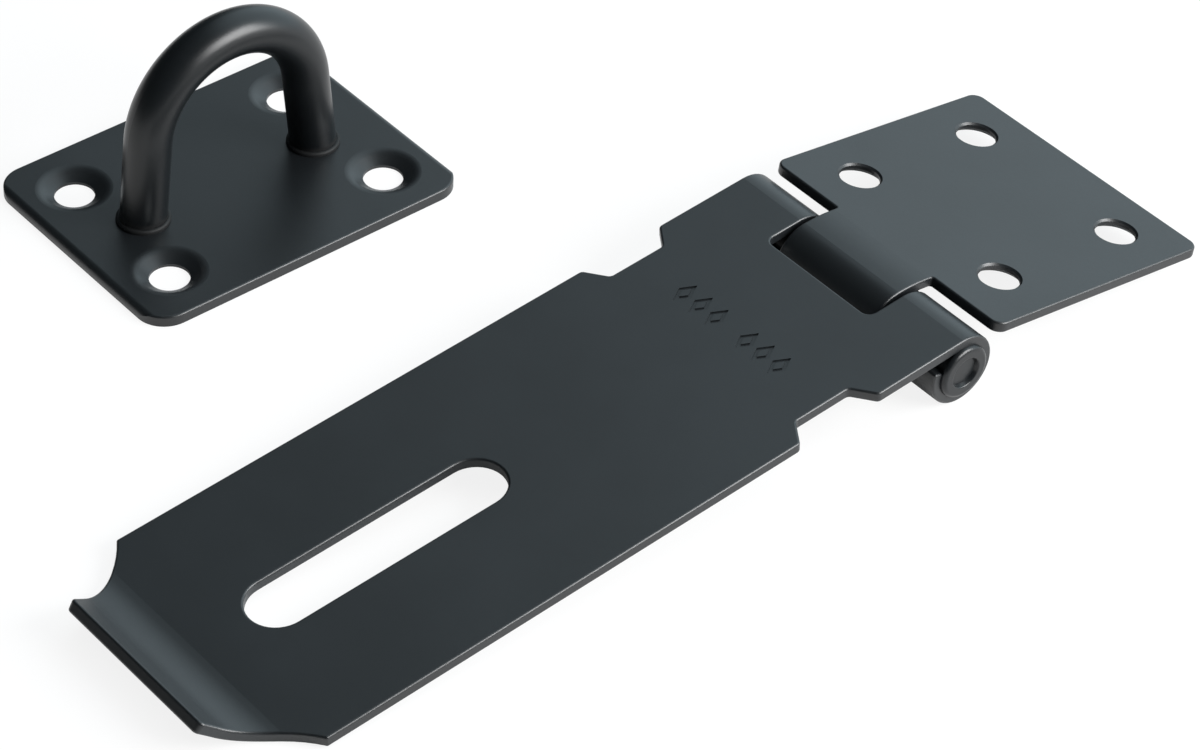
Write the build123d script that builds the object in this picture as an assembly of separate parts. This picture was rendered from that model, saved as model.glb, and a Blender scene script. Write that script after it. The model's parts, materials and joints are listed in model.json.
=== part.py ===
from build123d import *
import math
import os

# Hasp with a slotted strap, a fixed leaf, a hinge pin and a separate staple, in millimetres.
# X runs along the strap from its lip to the leaf, Z is up, and the pin lies along Y.
# Origin: centre of the bounding box, on the surface that the hasp lies on.

# Sheet and hinge
sheet = 1.5
knuckle_radius = 4.8
pin_clearance = 0.06
rest_fold = 13.0
curl_angle = 293.0
knuckle_side_gap = 0.6
edge_round = 0.3

# Slotted strap, distances measured from the pin axis towards the lip
strap_width = 40.0
strap_reach = 107.5
neck_width = 33.8
neck_start = 15.9
neck_end = 24.2
notch_slant = 2.1
notch_corner = 0.8
tongue_slot_depth = 5.6
tongue_slot_corner = 1.2
slot_width = 7.8
slot_travel = 28.4
slot_tip_margin = 20.1
scallop_length = 11.9
scallop_radius = 17.5
lip_width = 24.4
lip_bend_radius = 8.4
lip_angle = 42.0
lip_straight = 2.8
lip_corner = 0.7

# Stamped row of plain diamonds across the neck
stamp_place = 19.4
stamp_depth = 0.18
stamp_line = 0.5
diamond_length = 3.9
diamond_width = 2.3
diamond_pitch = 2.9
diamond_group = 3
diamond_group_gap = 2.6

# Fixed leaf
leaf_overhang = 0.3
leaf_reach = 41.1
leaf_shoulder = 4.6
leaf_corner = 1.6
tongue_width = 17.2
tongue_corner = 0.6
tongue_rise = 0.42
leaf_hole_radius = 2.65
leaf_hole_near = 12.4
leaf_hole_pitch = 21.1
leaf_hole_spread = 25.2
leaf_sink_depth = 0.8
leaf_hole_rim = 0.25

# Hinge pin
pin_head_overlap = 0.35
pin_head_height = 0.7
pin_head_round = 0.6
pin_mark_radius = 2.15
pin_mark_depth = 0.55
pin_mark_round = 0.2

# Staple
plate_length = 48.2
plate_width = 36.4
plate_thickness = 1.5
plate_end_roll = 1.0
plate_corner = 4.0
plate_hole_radius = 2.6
plate_hole_end_margin = 7.4
plate_hole_side_margin = 7.8
dish_radius = 4.4
dish_depth = 1.1
dish_round = 2.0
bar_radius = 3.05
loop_height = 27.1
arch_radius = 12.2
leg_spread = 26.6
collar_width = 0.45
collar_height = 0.6
collar_round = 0.36
tenon_radius = 2.5
staple_along = -45.8
staple_aside = 66.8

# Tolerances for finding edges, and how far a cutter reaches past a face
near = 0.05
past = 1.0
sharp_angle = 25.0

# Sizes that follow from those above
bore_radius = knuckle_radius - sheet
pin_radius = bore_radius - pin_clearance
middle_radius = knuckle_radius - sheet / 2
leaf_middle = middle_radius + tongue_rise
tongue_bend_start = leaf_shoulder - tongue_corner - near
tongue_slot_width = tongue_width + 2 * knuckle_side_gap
leaf_width = strap_width + 2 * leaf_overhang
slot_far = strap_reach - slot_tip_margin
slot_near = slot_far - slot_travel
scallop_start = strap_reach - scallop_length
reach_past = 2 * knuckle_radius
lip_outer_radius = lip_bend_radius + sheet
lip_run = (lip_outer_radius * math.sin(math.radians(lip_angle))
           + lip_straight * math.cos(math.radians(lip_angle)))
bend_start = strap_reach - lip_run
plate_hole_spacing_x = plate_length - 2 * plate_hole_end_margin
plate_hole_spacing_y = plate_width - 2 * plate_hole_side_margin

# The strap leans down from the pin until its lip bend touches the surface, and the leaf takes
# the rest of the fold between the two.
bend_height = bore_radius + lip_outer_radius
bend_distance = math.hypot(bend_height, bend_start)
strap_tilt = math.degrees(math.acos((lip_outer_radius - knuckle_radius) / bend_distance)
                          - math.atan2(bend_start, bend_height))
leaf_tilt = rest_fold - strap_tilt


def walk(start, course, runs, aside):
    """Edges of one face of a folded sheet, drawn aside to the left of its middle line.

    A run is a pair: a length and 0 for a straight, or a middle radius and the angle turned.
    """
    edges = []
    here = Vector(start[0], start[1])
    for size, turn in runs:
        ahead = Vector(math.cos(math.radians(course)), math.sin(math.radians(course)))
        left = Vector(-ahead.Y, ahead.X)
        if turn == 0:
            there = here + ahead * size
            edges.append(Line(here + left * aside, there + left * aside))
        else:
            side = math.copysign(1, turn)
            centre = here + left * size * side
            radius = size - aside * side
            rays = []
            for share in (0.0, 0.5, 1.0):
                angle = math.radians(course + turn * share)
                rays.append(Vector(math.sin(angle), -math.cos(angle)) * side)
            edges.append(ThreePointArc(*[centre + ray * radius for ray in rays]))
            there = centre + rays[2] * size
        here = there
        course = course + turn
    return edges


def folded_sheet(start, course, runs, width):
    """A folded sheet of one thickness, seen from the side and drawn out to its width."""
    upper = walk(start, course, runs, sheet / 2)
    lower = walk(start, course, runs, -sheet / 2)
    first = Line(lower[0] @ 0, upper[0] @ 0)
    last = Line(upper[-1] @ 1, lower[-1] @ 1)
    outline = Wire([first.edge()] + [e.edge() for e in upper] + [last.edge()] + [e.edge() for e in lower])
    profile = Plane.XZ * make_face(outline)
    return extrude(profile, width / 2, both=True)


def sharp_edges(solid, keep):
    """Edges where two faces meet at an angle and that the keep test accepts."""
    found = []
    for edge in solid.edges():
        if not keep(edge):
            continue
        middle = edge @ 0.5
        normals = [f.normal_at(middle) for f in solid.faces() if any(edge.is_same(e) for e in f.edges())]
        if len(normals) == 2 and normals[0].get_angle(normals[1]) > sharp_angle:
            found.append(edge)
    return found


def off_bore(edge):
    """True for edges that lie outside the curled sheet's bore."""
    middle = edge @ 0.5
    return math.hypot(middle.X, middle.Z) > bore_radius + near


def soften(solid, radius, keep):
    """Round the sheared edges of a sheet."""
    return fillet(sharp_edges(solid, keep), radius)


def strap_plan():
    """Outline of the strap from above, pin at the origin, lip towards -X."""
    half = strap_width / 2
    neck = neck_width / 2
    tip = -strap_reach - sheet
    side = [
        (reach_past, half),
        (-neck_start + notch_slant, half),
        (-neck_start, neck),
        (-neck_end, neck),
        (-neck_end - notch_slant, half),
        (-scallop_start, half),
    ]
    left = Polyline(*side)
    right = Polyline(*[(x, -y) for x, y in side])
    hollow_left = RadiusArc((-scallop_start, half), (-strap_reach, lip_width / 2), scallop_radius)
    hollow_right = RadiusArc((-scallop_start, -half), (-strap_reach, -lip_width / 2), -scallop_radius)
    end = Polyline((-strap_reach, lip_width / 2), (tip, lip_width / 2), (tip, -lip_width / 2),
                   (-strap_reach, -lip_width / 2))
    back = Line((reach_past, half), (reach_past, -half))
    plan = make_face(left + hollow_left + end + hollow_right + right + back)
    notch_points = plan.vertices().filter_by(
        lambda v: -neck_end - notch_slant - near < v.X < -neck_start + notch_slant + near)
    plan = fillet(notch_points, notch_corner)
    opening = Pos((reach_past - tongue_slot_depth) / 2, 0) * RectangleRounded(
        reach_past + tongue_slot_depth + 2 * tongue_slot_corner, tongue_slot_width, tongue_slot_corner)
    opening = Pos(tongue_slot_corner, 0) * opening
    slot = Pos(-(slot_near + slot_far) / 2, 0) * SlotCenterToCenter(slot_travel, slot_width)
    return plan - opening - slot


def diamond_row():
    """Thin cutters for the stamped row: outlined diamonds in two groups, across the strap."""
    group = (diamond_group - 1) * diamond_pitch
    first = -group - (diamond_pitch + diamond_group_gap) / 2
    marks = []
    for number in range(2 * diamond_group):
        step = number * diamond_pitch + (diamond_group_gap if number >= diamond_group else 0)
        outer = Polygon((diamond_length / 2, 0), (0, diamond_width / 2), (-diamond_length / 2, 0),
                        (0, -diamond_width / 2))
        ring = outer - offset(outer, -stamp_line)
        marks.append(Pos(-stamp_place, first + step) * ring)
    row = Sketch() + marks
    return extrude(Pos(0, 0, knuckle_radius - stamp_depth) * row, sheet)


def slotted_strap():
    """The strap in its own frame: pin at the origin, lip towards -X, its tip turned up."""
    start_angle = 90 - curl_angle
    start = (middle_radius * math.cos(math.radians(start_angle)),
             middle_radius * math.sin(math.radians(start_angle)))
    runs = [
        (middle_radius, curl_angle),
        (bend_start, 0),
        (lip_bend_radius + sheet / 2, -lip_angle),
        (lip_straight, 0),
    ]
    body = folded_sheet(start, start_angle + 90, runs, strap_width + 2 * past)
    cutter = extrude(strap_plan(), strap_reach, both=True)
    body = (body & cutter).solid()
    tip_ends = body.edges().filter_by(
        lambda e: (e @ 0.5).X < -strap_reach + sheet / 2 and abs(e.length - sheet) < sheet / 10)
    body = fillet(tip_ends, lip_corner)
    body = soften(body, edge_round, off_bore)
    return body - diamond_row()


def fixed_leaf():
    """The leaf in its own frame: pin at the origin, plate towards +X.

    Its tongue bends down in one wide arc that meets both the plate and the curl without a corner.
    """
    bend_radius = middle_radius + (tongue_bend_start ** 2 / tongue_rise + tongue_rise) / 2
    bend_angle = math.degrees(math.atan2(tongue_bend_start, bend_radius - leaf_middle))
    runs = [
        (leaf_reach - tongue_bend_start, 0),
        (bend_radius, bend_angle),
        (middle_radius, curl_angle),
    ]
    curled = folded_sheet((leaf_reach, leaf_middle), 180, runs, tongue_width)
    plate_run = leaf_reach - leaf_shoulder
    plate_centre = (leaf_reach + leaf_shoulder) / 2
    flat = Pos(plate_centre, 0, leaf_middle) * Box(plate_run, leaf_width, sheet)
    plate = Pos(plate_centre, 0) * RectangleRounded(plate_run, leaf_width, leaf_corner)
    tongue_length = leaf_shoulder + leaf_corner + reach_past
    tongue_centre = leaf_shoulder + leaf_corner - tongue_length / 2
    tongue = Pos(tongue_centre, 0) * Rectangle(tongue_length, tongue_width)
    plan = plate + tongue
    inner_corners = plan.vertices().filter_by(
        lambda v: abs(v.X - leaf_shoulder) < near and abs(abs(v.Y) - tongue_width / 2) < near)
    plan = fillet(inner_corners, tongue_corner)
    body = ((curled + flat) & extrude(plan, leaf_reach, both=True)).solid()
    body = soften(body, edge_round, off_bore)
    top = leaf_middle + sheet / 2
    return body - leaf_holes(top)


def leaf_holes(top):
    """Four screw holes: a short round land at the flat face and a cone on the hinge side."""
    bottom = top - sheet
    sink_radius = leaf_hole_radius + leaf_sink_depth
    rim_radius = leaf_hole_radius + leaf_hole_rim
    section = Polyline((0, top + past), (rim_radius, top + past), (rim_radius, top),
                       (leaf_hole_radius, top - leaf_hole_rim),
                       (leaf_hole_radius, bottom + leaf_sink_depth), (sink_radius, bottom),
                       (sink_radius, bottom - past), (0, bottom - past), close=True)
    cutter = revolve(Plane.XZ * make_face(section), Axis.Z)
    holes = []
    for along in (leaf_hole_near, leaf_hole_near + leaf_hole_pitch):
        for aside in (-leaf_hole_spread / 2, leaf_hole_spread / 2):
            holes.append(Pos(along, aside, 0) * cutter)
    return holes


def hinge_pin():
    """Pin along Y with an upset head at each end and a punch mark in each head."""
    half = strap_width / 2
    head_radius = bore_radius + pin_head_overlap
    end = half + pin_head_height
    mark_floor = end - pin_mark_depth
    section = Polyline((0, 0), (pin_radius, 0), (pin_radius, half), (head_radius, half),
                       (head_radius, end), (pin_mark_radius, end),
                       (pin_mark_radius - pin_mark_depth / 2, mark_floor), (0, mark_floor), close=True)
    face = make_face(section)
    outer = face.vertices().filter_by(lambda v: abs(v.Y - end) < near).sort_by(Axis.X)[-1]
    face = fillet(outer, pin_head_round)
    inner = face.vertices().filter_by(lambda v: abs(v.Y - end) < near).sort_by(Axis.X)[0]
    face = fillet(inner, pin_mark_round)
    half_pin = revolve(face, Axis.Y)
    return half_pin + mirror(half_pin, Plane.XZ)


def staple_plate():
    """Plate on the surface, its centre at the origin, four dished holes and two loop holes.

    Its long sides are sheared, and its short ends are rolled over at the top.
    """
    plan = RectangleRounded(plate_length, plate_width, plate_corner)
    body = extrude(plan, plate_thickness)
    body = fillet(body.faces().sort_by(Axis.Z)[-1].edges(), edge_round)
    section = Polyline((0, plate_thickness), (dish_radius, plate_thickness),
                       (plate_hole_radius, plate_thickness - dish_depth), (plate_hole_radius, -past),
                       (0, -past), close=True)
    dish = revolve(Plane.XZ * make_face(section), Axis.Z)
    for across in (-1, 1):
        for aside in (-1, 1):
            place = Pos(across * plate_hole_spacing_x / 2, aside * plate_hole_spacing_y / 2)
            body = body - place * dish
    rims = body.edges().filter_by(GeomType.CIRCLE).filter_by(
        lambda e: abs(e.radius - dish_radius) < near and abs((e @ 0.5).Z - plate_thickness) < near)
    body = fillet(rims, dish_round)
    for across in (-1, 1):
        body = body - Pos(across * leg_spread / 2, 0) * Cylinder(tenon_radius, 3 * plate_thickness)
    view = Pos(0, plate_thickness / 2) * Rectangle(plate_length, plate_thickness)
    view = fillet(view.vertices().filter_by(lambda v: v.Y > plate_thickness - near), plate_end_roll)
    return (body & extrude(Plane.XZ * view, plate_width, both=True)).solid()


def staple_loop():
    """Round bar bent to a U, legs spread a little, with a collar and a tenon at each foot.

    Each leg runs from its foot on the plate along the tangent to the arch.
    """
    foot = Vector(leg_spread / 2, plate_thickness)
    crown = loop_height - bar_radius - arch_radius
    reach = math.hypot(foot.X, foot.Y - crown)
    lean = math.degrees(math.atan2(foot.Y - crown, foot.X) + math.acos(arch_radius / reach))
    ray = Vector(math.cos(math.radians(lean)), math.sin(math.radians(lean)))
    meet = Vector(0, crown) + ray * arch_radius
    course = (meet - foot).normalized()
    low = foot - course * bar_radius
    leg = Line((low.X, low.Y), (meet.X, meet.Y))
    arch = ThreePointArc((meet.X, meet.Y), (0, crown + arch_radius), (-meet.X, meet.Y))
    other = Line((-meet.X, meet.Y), (-low.X, low.Y))
    path = Plane.XZ * Wire([leg.edge(), arch.edge(), other.edge()])
    section = Plane(path @ 0, z_dir=path % 0) * Circle(bar_radius)
    bar = sweep(section, path)
    below = Box(2 * leg_spread, 4 * bar_radius, 4 * bar_radius)
    bar = bar - Pos(0, 0, plate_thickness - 2 * bar_radius) * below
    for across in (-1, 1):
        place = Pos(across * leg_spread / 2, 0, 0)
        collar = Pos(0, 0, plate_thickness) * Cylinder(
            bar_radius + collar_width, collar_height, align=(Align.CENTER, Align.CENTER, Align.MIN))
        collar = fillet(collar.edges().filter_by(GeomType.CIRCLE).sort_by(Axis.Z)[-1], collar_round)
        tenon = Cylinder(tenon_radius, plate_thickness, align=(Align.CENTER, Align.CENTER, Align.MIN))
        bar = bar + place * collar + place * tenon
    return bar


pin_place = Pos(0, 0, knuckle_radius)
staple_place = Pos(staple_along, staple_aside, 0)
parts = {
    "slotted_strap": pin_place * Rot(0, -strap_tilt, 0) * slotted_strap(),
    "hinge_pin": pin_place * hinge_pin(),
    "fixed_leaf": pin_place * Rot(0, leaf_tilt, 0) * fixed_leaf(),
    "staple_plate": staple_place * staple_plate(),
    "staple_loop": staple_place * staple_loop(),
}

os.makedirs("parts", exist_ok=True)
extent = Compound(children=[Compound(list(p.solids())) for p in parts.values()]).bounding_box()
home = Pos(-(extent.min.X + extent.max.X) / 2, -(extent.min.Y + extent.max.Y) / 2, -extent.min.Z)
for name, piece in parts.items():
    export_step(home * piece, "parts/" + name + ".step")
print("pin axis at", home * pin_place)
print("staple centre at", home * staple_place)
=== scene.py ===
"""Slotted hasp with its staple, in satin black powder coat, laid out as a Blender add-on.

Every sheet and bar keeps the shape it has in the frame. Each operator gives one piece, or a group of
like pieces, its finish, and the last one sets the floor, the soft light and the camera.
"""

import json
import math

import bmesh
import bpy
from bpy.props import FloatProperty, FloatVectorProperty, PointerProperty
from mathutils import Matrix, Vector


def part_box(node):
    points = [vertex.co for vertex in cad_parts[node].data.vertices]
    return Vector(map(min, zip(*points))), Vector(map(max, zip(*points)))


bl_info = {
    "name": "Slotted Hasp",
    "version": (1, 0, 0),
    "blender": (4, 5, 0),
    "location": "View3D > Sidebar > Hasp",
    "description": "Coats a slotted hasp and its staple and sets a plain studio round them",
    "category": "Object",
}

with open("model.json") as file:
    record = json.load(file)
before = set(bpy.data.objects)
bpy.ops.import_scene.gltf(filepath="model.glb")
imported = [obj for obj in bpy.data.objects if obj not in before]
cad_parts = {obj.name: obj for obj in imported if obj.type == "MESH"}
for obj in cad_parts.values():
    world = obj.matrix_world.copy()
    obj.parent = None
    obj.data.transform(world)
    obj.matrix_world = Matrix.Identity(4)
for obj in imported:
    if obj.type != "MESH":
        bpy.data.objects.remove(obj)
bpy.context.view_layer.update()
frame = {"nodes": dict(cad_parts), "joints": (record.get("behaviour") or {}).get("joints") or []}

MILLIMETRE = 0.001

# Coat of the round bar, which is smoother and blacker than the sheets' and mirrors less
BAR_COLOUR = (0.0052, 0.0064, 0.0074)
BAR_ROUGHNESS = 0.29
BAR_REFRACTION = 1.45
BAR_PEEL_DEPTH = 0.0025 * MILLIMETRE
BAR_GRAIN_DEPTH = 0.0005 * MILLIMETRE

# Noise in every coat: how many finer layers it has, and the two values of it between which the patches
# turn from dark to light and the grain turns from glossy to dull
PATCH_DETAIL = 3.0
FINE_DETAIL = 2.0
PATCH_RANGE = (0.35, 0.65)
GLOSS_RANGE = (0.3, 0.7)

# Painted shade at the foot, up to a height above the surface: the coat is duller there, and its colour
# is darkened by a factor to stand in for the shade where the loop meets the plate
FOOT_SHADE_HEIGHT = 2.3 * MILLIMETRE
FOOT_SHADE_FADE = 0.6 * MILLIMETRE
FOOT_DULLNESS = 0.35
FOOT_PAINTED_SHADE = 0.4

# Glowing wall of the room: heading as azimuth and elevation, how far its even middle and its fading
# edge reach from there, all in degrees, and tint
WALL_HEADING = (90.0, 28.0)
WALL_CORE = 25.0
WALL_SPREAD = 59.0
WALL_TINT = (0.8, 0.97, 1.05)

# The two softboxes: heading as azimuth and elevation in degrees, then distance, width and height in
# metres
TOP_HEADING = (0.0, 90.0)
TOP_DISTANCE = 1.3
TOP_SIZE = (1.2, 1.2)
KEY_HEADING = (150.0, 28.0)
KEY_DISTANCE = 0.45
KEY_SIZE = (0.3, 0.25)

# Floor: corners of its outline, clouds of unevenness to a metre, how many finer layers they have and
# what share of the floor's colour the darkest of them keeps
FLOOR_CORNERS = 64
FLOOR_CLOUDS = 3.0
CLOUD_DETAIL = 2.0
CLOUD_SHADE = 0.98

# Width of the camera's sensor, in millimetres
SENSOR_WIDTH = 36.0

# Pieces that lie flat over the floor and shade it, how far that shade fades in from their edges, and
# how much of the floor's white it takes from what gloss sees of it
SHADING_PIECES = ("slotted_strap", "fixed_leaf", "staple_plate")
SHADE_FADE = 1.5 * MILLIMETRE
SHADE_DEPTH = 0.85


class CoatSettings(bpy.types.PropertyGroup):
    """Powder coat of one piece: its colour, its gloss and the size of its orange peel"""

    colour: FloatVectorProperty(
        name="Colour",
        description="Colour of the coat",
        subtype="COLOR",
        size=3,
        min=0.0,
        max=1.0,
        default=(0.0068, 0.0082, 0.0094),
    )
    roughness: FloatProperty(
        name="Roughness",
        description="Roughness of the coat where it lies smoothest",
        min=0.0,
        max=1.0,
        default=0.36,
    )
    roughness_spread: FloatProperty(
        name="Roughness spread",
        description="How much rougher the dullest patches are",
        min=0.0,
        max=1.0,
        default=0.06,
    )
    refraction: FloatProperty(
        name="Refraction",
        description="Index of refraction of the cured coat",
        min=1.0,
        max=3.0,
        default=1.56,
    )
    peel_width: FloatProperty(
        name="Peel width",
        description="Width of one swell of the orange peel",
        unit="LENGTH",
        default=0.9 * MILLIMETRE,
    )
    peel_depth: FloatProperty(
        name="Peel depth",
        description="Depth of the orange peel",
        unit="LENGTH",
        default=0.005 * MILLIMETRE,
    )
    grain_width: FloatProperty(
        name="Grain width",
        description="Width of one grain of the powder",
        unit="LENGTH",
        default=0.16 * MILLIMETRE,
    )
    grain_depth: FloatProperty(
        name="Grain depth",
        description="Depth of the powder's grain",
        unit="LENGTH",
        default=0.0012 * MILLIMETRE,
    )
    patch_width: FloatProperty(
        name="Patch width",
        description="Width of the faint lighter and darker patches",
        unit="LENGTH",
        default=14.0 * MILLIMETRE,
    )
    patch_strength: FloatProperty(
        name="Patch strength",
        description="How much the patches change the colour",
        min=0.0,
        max=1.0,
        default=0.16,
    )


class StageSettings(bpy.types.PropertyGroup):
    """Floor, light and camera round the hasp"""

    floor_radius: FloatProperty(
        name="Floor radius",
        description="Radius of the round floor",
        unit="LENGTH",
        default=4.0,
    )
    floor_colour: FloatVectorProperty(
        name="Floor colour",
        description="Colour of the floor",
        subtype="COLOR",
        size=3,
        min=0.0,
        max=1.0,
        default=(0.9, 0.9, 0.9),
    )
    floor_whiteness: FloatProperty(
        name="Floor whiteness",
        description="Share of plain white in what is seen of the floor, the rest being its lit colour",
        min=0.0,
        max=1.0,
        default=0.86,
    )
    room_share: FloatProperty(
        name="Room share",
        description="Light of the dark room round the hasp, as a share of the wall's",
        min=0.0,
        max=1.0,
        default=0.03,
    )
    wall_glow: FloatProperty(
        name="Wall glow",
        description="Strength of the cool glow of the wall behind the hinge",
        min=0.0,
        default=1.54,
    )
    top_power: FloatProperty(
        name="Top power",
        description="Power of the broad lamp overhead, in watts",
        min=0.0,
        default=6.5,
    )
    key_power: FloatProperty(
        name="Key power",
        description="Power of the softbox in front of the hinge, in watts",
        min=0.0,
        default=3.5,
    )
    camera_aim: FloatVectorProperty(
        name="Camera aim",
        description="Middle of the picture on the floor, measured from the hinge",
        subtype="TRANSLATION",
        unit="LENGTH",
        size=3,
        default=(-31.6 * MILLIMETRE, 10.02 * MILLIMETRE, 0.0),
    )
    camera_distance: FloatProperty(
        name="Camera distance",
        description="Distance from the camera to its aim",
        unit="LENGTH",
        default=486.0 * MILLIMETRE,
    )
    camera_azimuth: FloatProperty(
        name="Camera azimuth",
        description="Turn of the view from +Y towards +X",
        subtype="ANGLE",
        default=math.radians(41.89),
    )
    camera_elevation: FloatProperty(
        name="Camera elevation",
        description="Height of the camera above the horizon",
        subtype="ANGLE",
        default=math.radians(40.62),
    )
    camera_roll: FloatProperty(
        name="Camera roll",
        description="Roll of the camera, its right side up",
        subtype="ANGLE",
        default=math.radians(2.96),
    )
    camera_lens: FloatProperty(
        name="Camera lens",
        description="Focal length on a 36 mm sensor, in millimetres",
        min=1.0,
        default=119.96,
    )


class HaspSettings(bpy.types.PropertyGroup):
    """All that can be set on the hasp"""

    sheet_coat: PointerProperty(name="Sheet coat", description="Coat of the sheets", type=CoatSettings)
    bar_coat: PointerProperty(name="Bar coat", description="Coat of loop and pin", type=CoatSettings)
    stage: PointerProperty(name="Stage", description="Floor, light and camera", type=StageSettings)


class NodeBench:
    """A material or world emptied of its nodes, with short calls to add and link new ones."""

    def __init__(self, owner):
        owner.use_nodes = True
        self.tree = owner.node_tree
        self.tree.nodes.clear()

    def add(self, kind, label, **values):
        """A new node whose input sockets and own settings take the given values."""
        node = self.tree.nodes.new(kind)
        node.label = label
        for name, value in values.items():
            socket = name.replace("_", " ").title()
            if socket in node.inputs:
                node.inputs[socket].default_value = value
            else:
                setattr(node, name, value)
        return node

    def link(self, output, target):
        self.tree.links.new(output, target)


def paint_shade_at_foot(bench, place, tone, dullness):
    """Paints shade into a coat's tone, darkening it, and raises its roughness near the surface that the
    piece stands on.
    """
    height = bench.add("ShaderNodeSeparateXYZ", "Height")
    bench.link(place, height.inputs["Vector"])
    low = bench.add("ShaderNodeMapRange", "Near the foot", interpolation_type="SMOOTHSTEP")
    low.inputs["From Min"].default_value = FOOT_SHADE_HEIGHT + FOOT_SHADE_FADE
    low.inputs["From Max"].default_value = FOOT_SHADE_HEIGHT
    bench.link(height.outputs["Z"], low.inputs["Value"])
    dull = bench.add("ShaderNodeMath", "Duller", operation="MULTIPLY_ADD")
    bench.link(low.outputs["Result"], dull.inputs[0])
    dull.inputs[1].default_value = FOOT_DULLNESS
    bench.link(dullness, dull.inputs[2])
    # Painted shade: the colour is darkened by a factor near the foot
    share = bench.add("ShaderNodeMath", "Darker", operation="MULTIPLY_ADD")
    bench.link(low.outputs["Result"], share.inputs[0])
    share.inputs[1].default_value = FOOT_PAINTED_SHADE - 1.0
    share.inputs[2].default_value = 1.0
    dark = bench.add("ShaderNodeVectorMath", "Painted foot shade", operation="SCALE")
    bench.link(tone, dark.inputs[0])
    bench.link(share.outputs["Value"], dark.inputs["Scale"])
    return dark.outputs["Vector"], dull.outputs["Value"]


def coat_material(name, coat, shade_at_foot=False):
    """Powder coat: patches in the colour, uneven gloss, orange peel and the powder's fine grain.

    A piece with shade at its foot has duller coat there, and its colour is darkened there as painted
    shade.
    """
    material = bpy.data.materials.new(name)
    bench = NodeBench(material)
    place = bench.add("ShaderNodeTexCoord", "Place on the piece")

    def noise(label, width, detail):
        node = bench.add("ShaderNodeTexNoise", label, scale=1.0 / width, detail=detail)
        bench.link(place.outputs["Object"], node.inputs["Vector"])
        return node.outputs["Fac"]

    patches = noise("Patches", coat.patch_width, PATCH_DETAIL)
    peel = noise("Orange peel", coat.peel_width, FINE_DETAIL)
    grain = noise("Powder grain", coat.grain_width, FINE_DETAIL)

    shade = bench.add("ShaderNodeValToRGB", "Shade of the patches")
    colour = Vector(coat.colour)
    low, high = shade.color_ramp.elements
    low.position, high.position = PATCH_RANGE
    low.color = (*(colour * (1.0 - coat.patch_strength)), 1.0)
    high.color = (*(colour * (1.0 + coat.patch_strength)), 1.0)
    bench.link(patches, shade.inputs["Fac"])

    gloss = bench.add("ShaderNodeMapRange", "Uneven gloss")
    gloss.inputs["From Min"].default_value = GLOSS_RANGE[0]
    gloss.inputs["From Max"].default_value = GLOSS_RANGE[1]
    gloss.inputs["To Min"].default_value = coat.roughness
    gloss.inputs["To Max"].default_value = coat.roughness + coat.roughness_spread
    bench.link(grain, gloss.inputs["Value"])

    fine = bench.add("ShaderNodeBump", "Grain relief", strength=1.0, distance=coat.grain_depth)
    bench.link(grain, fine.inputs["Height"])
    broad = bench.add("ShaderNodeBump", "Peel relief", strength=1.0, distance=coat.peel_depth)
    bench.link(peel, broad.inputs["Height"])
    bench.link(fine.outputs["Normal"], broad.inputs["Normal"])

    surface = bench.add("ShaderNodeBsdfPrincipled", "Coat")
    surface.inputs["IOR"].default_value = coat.refraction
    tone, dullness = shade.outputs["Color"], gloss.outputs["Result"]
    if shade_at_foot:
        tone, dullness = paint_shade_at_foot(bench, place.outputs["Object"], tone, dullness)
    bench.link(tone, surface.inputs["Base Color"])
    bench.link(dullness, surface.inputs["Roughness"])
    bench.link(broad.outputs["Normal"], surface.inputs["Normal"])
    output = bench.add("ShaderNodeOutputMaterial", "Output")
    bench.link(surface.outputs["BSDF"], output.inputs["Surface"])
    return material


def dress(node, material):
    """Gives a piece of the frame one finish all over."""
    finishes = frame["nodes"][node].data.materials
    finishes.clear()
    finishes.append(material)


class HASP_OT_strap(bpy.types.Operator):
    """Coat the slotted strap"""

    bl_idname = "hasp.strap"
    bl_label = "Coat the Strap"

    def execute(self, context):
        dress("slotted_strap", coat_material("strap_coat", context.scene.hasp.sheet_coat))
        return {"FINISHED"}


class HASP_OT_leaf(bpy.types.Operator):
    """Coat the fixed leaf"""

    bl_idname = "hasp.leaf"
    bl_label = "Coat the Leaf"

    def execute(self, context):
        dress("fixed_leaf", coat_material("leaf_coat", context.scene.hasp.sheet_coat))
        return {"FINISHED"}


class HASP_OT_pin(bpy.types.Operator):
    """Coat the hinge pin"""

    bl_idname = "hasp.pin"
    bl_label = "Coat the Pin"

    def execute(self, context):
        dress("hinge_pin", coat_material("pin_coat", context.scene.hasp.bar_coat))
        return {"FINISHED"}


class HASP_OT_staple(bpy.types.Operator):
    """Coat the staple's plate and loop"""

    bl_idname = "hasp.staple"
    bl_label = "Coat the Staple"

    def execute(self, context):
        hasp = context.scene.hasp
        dress("staple_plate", coat_material("plate_coat", hasp.sheet_coat))
        # The loop's foot gets painted shade where it meets the plate, and duller coat
        dress("staple_loop", coat_material("loop_coat", hasp.bar_coat, shade_at_foot=True))
        return {"FINISHED"}


def either_of(bench, label, first, second):
    """The larger of two values."""
    larger = bench.add("ShaderNodeMath", label, operation="MAXIMUM")
    bench.link(first, larger.inputs[0])
    bench.link(second, larger.inputs[1])
    return larger.outputs["Value"]


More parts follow.
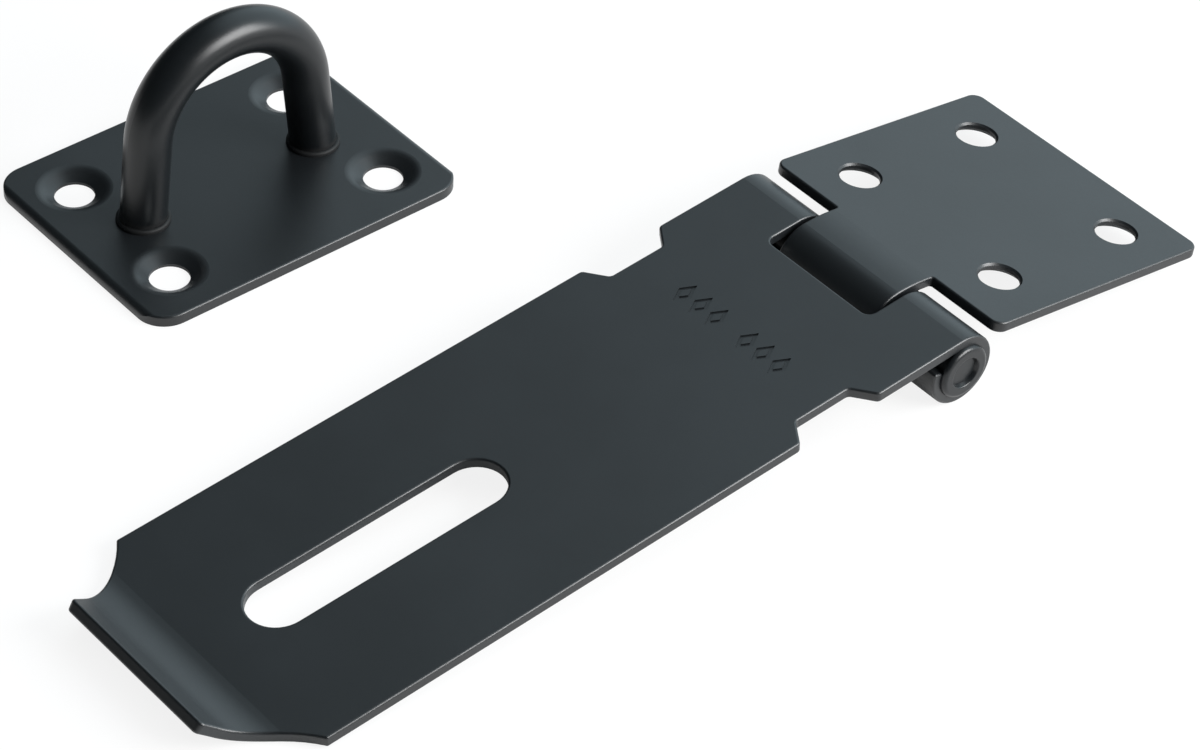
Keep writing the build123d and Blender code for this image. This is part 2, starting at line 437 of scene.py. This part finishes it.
def light_under_pieces(bench, place):
    """Share of the floor's white that is left: all of it in the open, and less under a flat piece."""
    under = None
    for name in SHADING_PIECES:
        low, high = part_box(name)
        offset = bench.add("ShaderNodeVectorMath", "From its middle", operation="SUBTRACT")
        bench.link(place, offset.inputs[0])
        offset.inputs[1].default_value = (low + high) / 2
        reach = bench.add("ShaderNodeVectorMath", "Reach", operation="ABSOLUTE")
        bench.link(offset.outputs["Vector"], reach.inputs[0])
        beyond = bench.add("ShaderNodeVectorMath", "Beyond the edge", operation="SUBTRACT")
        bench.link(reach.outputs["Vector"], beyond.inputs[0])
        beyond.inputs[1].default_value = (high - low) / 2
        sides = bench.add("ShaderNodeSeparateXYZ", "Sides")
        bench.link(beyond.outputs["Vector"], sides.inputs["Vector"])
        inside = bench.add("ShaderNodeMapRange", "Inside", interpolation_type="SMOOTHSTEP")
        inside.inputs["From Min"].default_value = 0.0
        inside.inputs["From Max"].default_value = -SHADE_FADE
        farther = either_of(bench, "Farther side", sides.outputs["X"], sides.outputs["Y"])
        bench.link(farther, inside.inputs["Value"])
        covered = inside.outputs["Result"]
        under = covered if under is None else either_of(bench, "Under either", under, covered)
    left = bench.add("ShaderNodeMath", "Light left", operation="MULTIPLY_ADD")
    bench.link(under, left.inputs[0])
    left.inputs[1].default_value = -SHADE_DEPTH
    left.inputs[2].default_value = 1.0
    return left.outputs["Value"]


def white_to_the_eye(bench, place, lit, whiteness):
    """Mixes a lit surface with plain white for what the camera, gloss and glass see of it."""
    path = bench.add("ShaderNodeLightPath", "Who looks")
    gloss = bench.add("ShaderNodeMath", "Gloss, less the shade", operation="MULTIPLY")
    bench.link(path.outputs["Is Glossy Ray"], gloss.inputs[0])
    bench.link(light_under_pieces(bench, place), gloss.inputs[1])
    eye = either_of(bench, "Camera or gloss", path.outputs["Is Camera Ray"], gloss.outputs["Value"])
    eye = either_of(bench, "Or glass", eye, path.outputs["Is Transmission Ray"])
    share = bench.add("ShaderNodeMath", "Share of white", operation="MULTIPLY")
    bench.link(eye, share.inputs[0])
    share.inputs[1].default_value = whiteness
    white = bench.add("ShaderNodeEmission", "Plain white", strength=1.0)
    mix = bench.add("ShaderNodeMixShader", "White or lit")
    bench.link(share.outputs["Value"], mix.inputs["Fac"])
    bench.link(lit, mix.inputs[1])
    bench.link(white.outputs["Emission"], mix.inputs[2])
    return mix.outputs["Shader"]


def lay_floor(stage):
    """A round pale floor, flat under the hasp."""
    mesh = bpy.data.meshes.new("floor")
    shape = bmesh.new()
    bmesh.ops.create_circle(shape, cap_ends=True, radius=stage.floor_radius, segments=FLOOR_CORNERS)
    shape.to_mesh(mesh)
    shape.free()
    floor = bpy.data.objects.new("floor", mesh)
    bpy.context.scene.collection.objects.link(floor)
    material = bpy.data.materials.new("pale_floor")
    bench = NodeBench(material)
    place = bench.add("ShaderNodeTexCoord", "Place on the floor")
    cloud = bench.add("ShaderNodeTexNoise", "Clouds", scale=FLOOR_CLOUDS, detail=CLOUD_DETAIL)
    bench.link(place.outputs["Object"], cloud.inputs["Vector"])
    shade = bench.add("ShaderNodeValToRGB", "Floor shade")
    colour = Vector(stage.floor_colour)
    shade.color_ramp.elements[0].color = (*(colour * CLOUD_SHADE), 1.0)
    shade.color_ramp.elements[1].color = (*colour, 1.0)
    bench.link(cloud.outputs["Fac"], shade.inputs["Fac"])
    paint = bench.add("ShaderNodeBsdfDiffuse", "Floor paint")
    bench.link(shade.outputs["Color"], paint.inputs["Color"])
    seen = white_to_the_eye(bench, place.outputs["Object"], paint.outputs["BSDF"], stage.floor_whiteness)
    output = bench.add("ShaderNodeOutputMaterial", "Output")
    bench.link(seen, output.inputs["Surface"])
    mesh.materials.append(material)


def heading(azimuth, elevation):
    """Unit vector at an azimuth, from +Y towards +X, and an elevation, both in degrees."""
    across, up = math.radians(azimuth), math.radians(elevation)
    return Vector((math.sin(across) * math.cos(up), math.cos(across) * math.cos(up), math.sin(up)))


def light_room(stage):
    """A dark room with one wall that glows evenly in its middle and fades towards its edge."""
    world = bpy.data.worlds.new("studio_room")
    bench = NodeBench(world)
    direction = bench.add("ShaderNodeTexCoord", "Direction")
    nearness = bench.add("ShaderNodeVectorMath", "Nearness to the wall", operation="DOT_PRODUCT")
    bench.link(direction.outputs["Generated"], nearness.inputs[0])
    nearness.inputs[1].default_value = heading(*WALL_HEADING)
    glow = bench.add("ShaderNodeValToRGB", "Glow")
    glow.color_ramp.interpolation = "EASE"
    room, wall = glow.color_ramp.elements
    room.position = math.cos(math.radians(WALL_SPREAD))
    room.color = (*(Vector(WALL_TINT) * stage.room_share), 1.0)
    wall.position = math.cos(math.radians(WALL_CORE))
    wall.color = (*WALL_TINT, 1.0)
    bench.link(nearness.outputs["Value"], glow.inputs["Fac"])
    sky = bench.add("ShaderNodeBackground", "Room", strength=stage.wall_glow)
    bench.link(glow.outputs["Color"], sky.inputs["Color"])
    output = bench.add("ShaderNodeOutputWorld", "Output")
    bench.link(sky.outputs["Background"], output.inputs["Surface"])
    bpy.context.scene.world = world


def hang_lamp(name, place, distance, size, power, in_gloss=True):
    """A rectangular softbox that faces the middle of the hasp."""
    data = bpy.data.lights.new(name, "AREA")
    data.shape = "RECTANGLE"
    data.size, data.size_y = size
    data.energy = power
    lamp = bpy.data.objects.new(name, data)
    towards = heading(*place)
    lamp.location = towards * distance
    lamp.rotation_mode = "QUATERNION"
    lamp.rotation_quaternion = towards.to_track_quat("Z", "Y")
    lamp.visible_camera = False
    lamp.visible_glossy = in_gloss
    bpy.context.scene.collection.objects.link(lamp)


def hinge_place():
    """Middle of the hinge pin, straight down on the floor."""
    joint = next(each for each in frame["joints"] if each["name"] == "strap_hinge")
    return Vector((joint["pos_m"][0], joint["pos_m"][1], 0.0))


def set_camera(stage):
    """Camera at the photograph's angle, aimed at a point on the floor."""
    data = bpy.data.cameras.new("camera")
    data.sensor_width = SENSOR_WIDTH
    data.lens = stage.camera_lens
    camera = bpy.data.objects.new("camera", data)
    forward = heading(math.degrees(stage.camera_azimuth), -math.degrees(stage.camera_elevation))
    level = forward.cross(Vector((0.0, 0.0, 1.0))).normalized()
    upright = level.cross(forward)
    right = level * math.cos(stage.camera_roll) + upright * math.sin(stage.camera_roll)
    up = right.cross(forward)
    turn = Matrix((right, up, -forward)).transposed().to_4x4()
    place = hinge_place() + Vector(stage.camera_aim) - forward * stage.camera_distance
    camera.matrix_world = Matrix.Translation(place) @ turn
    bpy.context.scene.collection.objects.link(camera)
    bpy.context.scene.camera = camera


class HASP_OT_stage(bpy.types.Operator):
    """Lay the floor, hang the lamps and set the camera"""

    bl_idname = "hasp.stage"
    bl_label = "Set the Stage"

    def execute(self, context):
        stage = context.scene.hasp.stage
        context.scene.view_settings.view_transform = "Standard"
        lay_floor(stage)
        light_room(stage)
        hang_lamp("top_lamp", TOP_HEADING, TOP_DISTANCE, TOP_SIZE, stage.top_power, in_gloss=False)
        hang_lamp("key_softbox", KEY_HEADING, KEY_DISTANCE, KEY_SIZE, stage.key_power)
        set_camera(stage)
        return {"FINISHED"}


STEPS = (HASP_OT_strap, HASP_OT_leaf, HASP_OT_pin, HASP_OT_staple, HASP_OT_stage)


class HASP_PT_panel(bpy.types.Panel):
    """Sidebar panel with the hasp's finishes and its stage"""

    bl_label = "Hasp"
    bl_idname = "HASP_PT_panel"
    bl_space_type = "VIEW_3D"
    bl_region_type = "UI"
    bl_category = "Hasp"

    def draw(self, context):
        layout = self.layout
        hasp = context.scene.hasp
        groups = (("Sheet coat", hasp.sheet_coat), ("Bar coat", hasp.bar_coat), ("Stage", hasp.stage))
        for title, group in groups:
            box = layout.box()
            box.label(text=title)
            for name in group.bl_rna.properties.keys():
                if name not in ("rna_type", "name"):
                    box.prop(group, name)
        for step in STEPS:
            layout.operator(step.bl_idname)


CLASSES = (CoatSettings, StageSettings, HaspSettings, *STEPS, HASP_PT_panel)


def register():
    for each in CLASSES:
        bpy.utils.register_class(each)
    bpy.types.Scene.hasp = PointerProperty(type=HaspSettings)


def unregister():
    del bpy.types.Scene.hasp
    for each in reversed(CLASSES):
        bpy.utils.unregister_class(each)


def main():
    """Registers the add-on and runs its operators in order."""
    register()
    bar_coat = bpy.context.scene.hasp.bar_coat
    bar_coat.colour = BAR_COLOUR
    bar_coat.roughness = BAR_ROUGHNESS
    bar_coat.refraction = BAR_REFRACTION
    bar_coat.peel_depth = BAR_PEEL_DEPTH
    bar_coat.grain_depth = BAR_GRAIN_DEPTH
    bpy.ops.hasp.strap()
    bpy.ops.hasp.leaf()
    bpy.ops.hasp.pin()
    bpy.ops.hasp.staple()
    bpy.ops.hasp.stage()


if __name__ == "__main__":
    main()
